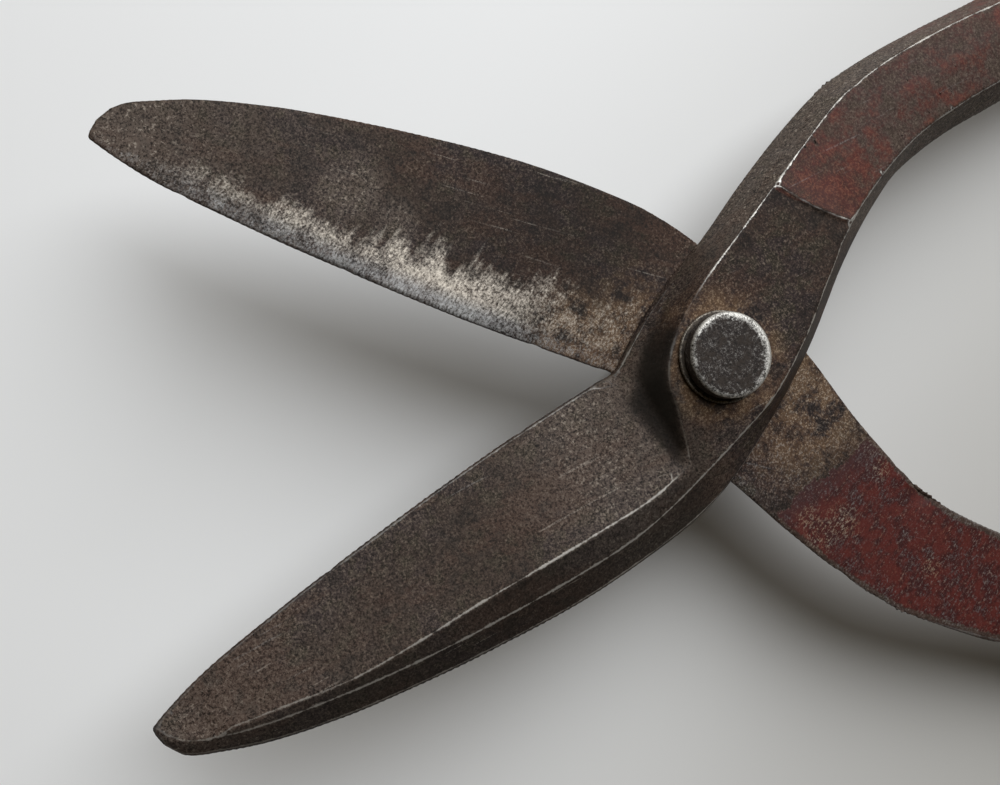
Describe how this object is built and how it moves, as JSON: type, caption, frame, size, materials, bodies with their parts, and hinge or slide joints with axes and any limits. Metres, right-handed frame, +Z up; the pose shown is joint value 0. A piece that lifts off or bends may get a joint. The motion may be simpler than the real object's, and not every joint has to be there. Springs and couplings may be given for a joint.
{
  "type": "tin snips",
  "caption": "Straight-pattern forged tin snips: two crossing steel halves, each blade, boss and painted handle in one, turning on an adjustable pivot bolt.",
  "frame": {"origin": "centre of the flat tail end of the pivot bolt, on the pivot axis, where the tool rests", "axes": "+Z up, square to the bench that the open tool lies on; +X along the bench from the pivot towards the handles, halfway between them, with the blades on the -X side; +Y completes the right-hand frame, on the side of the front half's handle. The pivot axis leans 6 degrees from +Z towards +X"},
  "size_m": [0.2807, 0.2174, 0.0392],
  "materials": {
    "front_forging": "forged steel with dark brown patina, bright worn ridges, and worn dark red paint on the handle",
    "back_forging": "forged steel with dark brown patina, bare scratched steel along the cutting edge, and worn dark red paint on the handle",
    "bolt_steel": "worn steel, bright at the rim of the head, darker in the middle",
    "washer_steel": "dull brown-grey steel",
    "spring_steel": "oil-blackened steel",
    "nut_steel": "worn steel with brown rust in the corners"
  },
  "bodies": {
    "front": {"front_half": "front_forging", "pivot_bolt": "bolt_steel", "head_washer": "washer_steel", "back_washer": "washer_steel", "spring_washer": "spring_steel", "pivot_nut": "nut_steel", "lock_nut": "nut_steel"},
    "back": {"back_half": "back_forging"}
  },
  "joints": [
    {"name": "pivot", "type": "hinge", "parent": "front", "child": "back", "pos_m": [0.00268, 0, 0.02551], "axis": [0.1045, 0, 0.9945], "range_deg": [-10, 51.3]}
  ]
}
